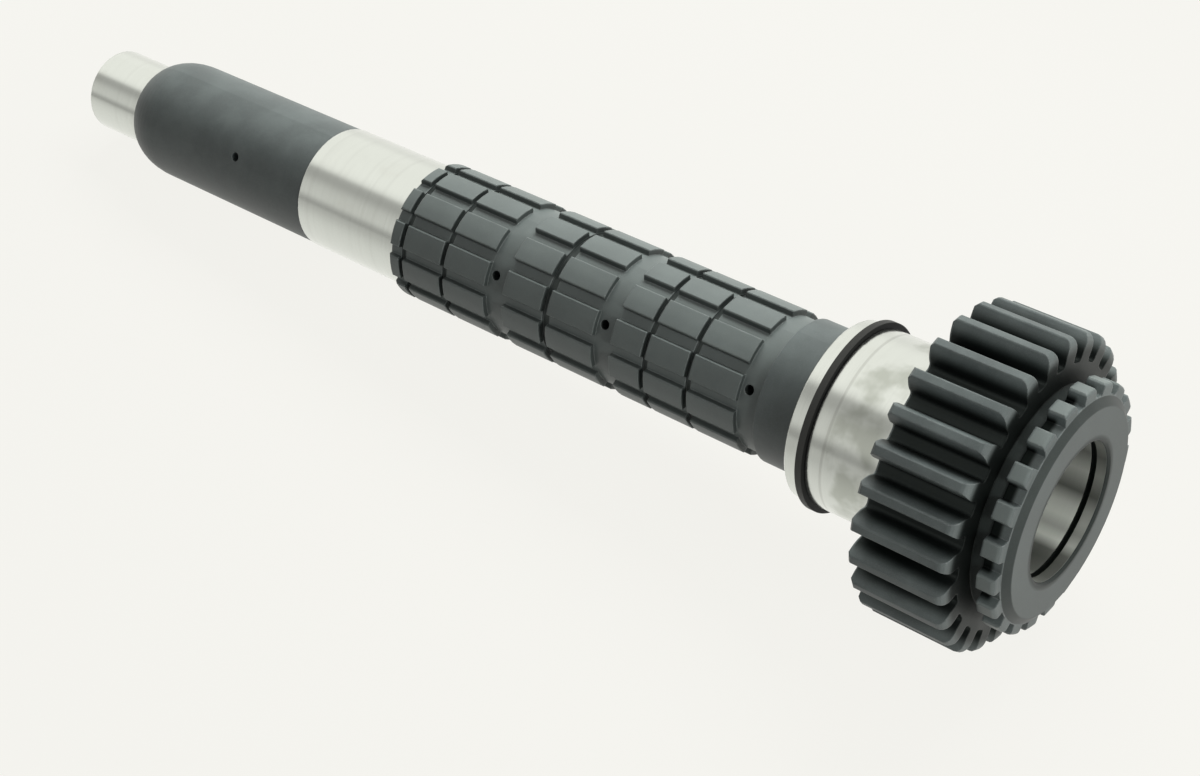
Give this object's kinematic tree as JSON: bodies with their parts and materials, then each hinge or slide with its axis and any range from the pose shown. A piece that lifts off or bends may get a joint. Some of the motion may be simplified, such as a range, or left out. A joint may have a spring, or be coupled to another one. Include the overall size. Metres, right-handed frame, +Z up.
{
  "type": "gearbox main shaft",
  "caption": "Long steel gearbox shaft with a spur gear and dog teeth at a socketed end, ring-grooved splines, ground journals and a domed, dark barrel.",
  "frame": {"origin": "on the shaft's axis at the shoulder where the splines end and the ground journal begins", "axes": "+X runs along the shaft's axis, out of the socket at the geared end; +Z is up as the shaft lies, and the row of oil holes faces between +Z and -Y"},
  "size_m": [0.5599, 0.1368, 0.1366],
  "materials": {
    "forging": "dark phosphate coat with bright ground journals, seat and socket",
    "spring_steel": "black oxide"
  },
  "bodies": {
    "root": {"shaft": "forging", "snap_ring": "spring_steel"}
  },
  "joints": []
}
